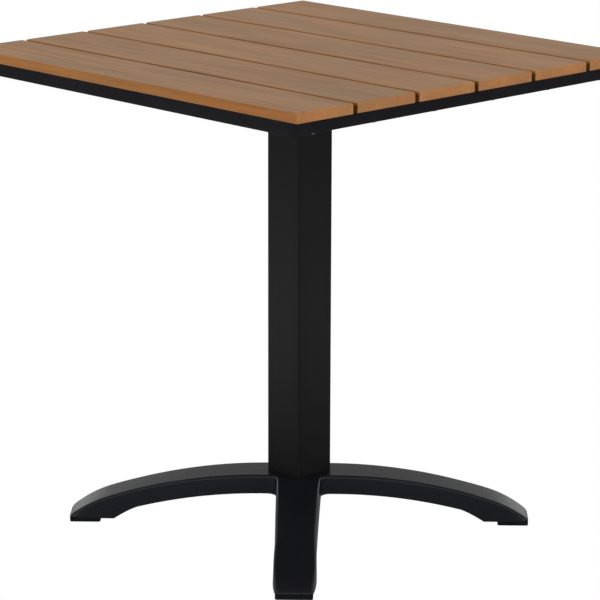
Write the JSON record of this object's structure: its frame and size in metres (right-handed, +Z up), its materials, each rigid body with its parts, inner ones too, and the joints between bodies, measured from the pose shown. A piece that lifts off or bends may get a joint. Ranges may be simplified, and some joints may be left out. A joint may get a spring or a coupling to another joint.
{
  "type": "bistro table",
  "caption": "Square slatted cafe table: wood-look slats on a slim black frame, a square black column and an arched cast cross base with levelling feet.",
  "frame": {"origin": "on the floor, under the middle of the column", "axes": "+Z up to the table top; the slats run along X and lie side by side along Y; the arms of the base point between the axes, to the corners of the top"},
  "size_m": [0.712, 0.696, 0.733],
  "materials": {
    "slats": "matte wood-look slat with a fine grain along its length",
    "frame": "black powder coat, satin matte, on aluminium tube",
    "column": "black powder coat, satin matte, on extruded aluminium",
    "base": "black coat, satin, on cast aluminium",
    "pads": "black moulded plastic",
    "screws": "zinc-plated steel"
  },
  "bodies": {
    "table": {"slat_1": "slats", "slat_2": "slats", "slat_3": "slats", "slat_4": "slats", "slat_5": "slats", "slat_6": "slats", "side_rail_front": "frame", "side_rail_back": "frame", "end_rail_right": "frame", "end_rail_left": "frame", "crossbar_right": "frame", "crossbar_left": "frame", "mounting_plate": "frame", "column": "column", "cross_base": "base", "slat_screw_1_1": "screws", "slat_screw_1_2": "screws", "slat_screw_1_3": "screws", "slat_screw_1_4": "screws", "slat_screw_2_1": "screws", "slat_screw_2_2": "screws", "slat_screw_2_3": "screws", "slat_screw_2_4": "screws", "slat_screw_3_1": "screws", "slat_screw_3_2": "screws", "slat_screw_3_3": "screws", "slat_screw_3_4": "screws", "slat_screw_4_1": "screws", "slat_screw_4_2": "screws", "slat_screw_4_3": "screws", "slat_screw_4_4": "screws", "slat_screw_5_1": "screws", "slat_screw_5_2": "screws", "slat_screw_5_3": "screws", "slat_screw_5_4": "screws", "slat_screw_6_1": "screws", "slat_screw_6_2": "screws", "slat_screw_6_3": "screws", "slat_screw_6_4": "screws", "plate_bolt_1": "screws", "plate_bolt_2": "screws", "plate_bolt_3": "screws", "plate_bolt_4": "screws", "column_screw_1": "screws", "column_screw_2": "screws", "column_screw_3": "screws", "column_screw_4": "screws", "base_screw_1": "screws", "base_screw_2": "screws", "base_screw_3": "screws", "base_screw_4": "screws"},
    "levelling_pad_1": {"foot_pad_1": "pads"},
    "levelling_pad_2": {"foot_pad_2": "pads"},
    "levelling_pad_3": {"foot_pad_3": "pads"},
    "levelling_pad_4": {"foot_pad_4": "pads"},
    "levelling_screw_1": {"foot_screw_1": "screws"},
    "levelling_screw_2": {"foot_screw_2": "screws"},
    "levelling_screw_3": {"foot_screw_3": "screws"},
    "levelling_screw_4": {"foot_screw_4": "screws"}
  },
  "joints": [
    {"name": "foot_1_slide", "type": "slide", "parent": "table", "child": "levelling_pad_1", "axis": [0, 0, -1], "range_m": [0, 0.006]},
    {"name": "foot_1_turn", "type": "hinge", "parent": "levelling_pad_1", "child": "levelling_screw_1", "pos_m": [0.23334, 0.23334, 0.012], "axis": [0, 0, -1], "range_deg": [0, 1728]},
    {"name": "foot_2_slide", "type": "slide", "parent": "table", "child": "levelling_pad_2", "axis": [0, 0, -1], "range_m": [0, 0.006]},
    {"name": "foot_2_turn", "type": "hinge", "parent": "levelling_pad_2", "child": "levelling_screw_2", "pos_m": [-0.23334, 0.23334, 0.012], "axis": [0, 0, -1], "range_deg": [0, 1728]},
    {"name": "foot_3_slide", "type": "slide", "parent": "table", "child": "levelling_pad_3", "axis": [0, 0, -1], "range_m": [0, 0.006]},
    {"name": "foot_3_turn", "type": "hinge", "parent": "levelling_pad_3", "child": "levelling_screw_3", "pos_m": [-0.23334, -0.23334, 0.012], "axis": [0, 0, -1], "range_deg": [0, 1728]},
    {"name": "foot_4_slide", "type": "slide", "parent": "table", "child": "levelling_pad_4", "axis": [0, 0, -1], "range_m": [0, 0.006]},
    {"name": "foot_4_turn", "type": "hinge", "parent": "levelling_pad_4", "child": "levelling_screw_4", "pos_m": [0.23334, -0.23334, 0.012], "axis": [0, 0, -1], "range_deg": [0, 1728]}
  ],
  "couplings": [
    {"joint": "foot_1_turn", "follows": "foot_1_slide", "rad_per_m": 5026.5},
    {"joint": "foot_2_turn", "follows": "foot_2_slide", "rad_per_m": 5026.5},
    {"joint": "foot_3_turn", "follows": "foot_3_slide", "rad_per_m": 5026.5},
    {"joint": "foot_4_turn", "follows": "foot_4_slide", "rad_per_m": 5026.5}
  ]
}
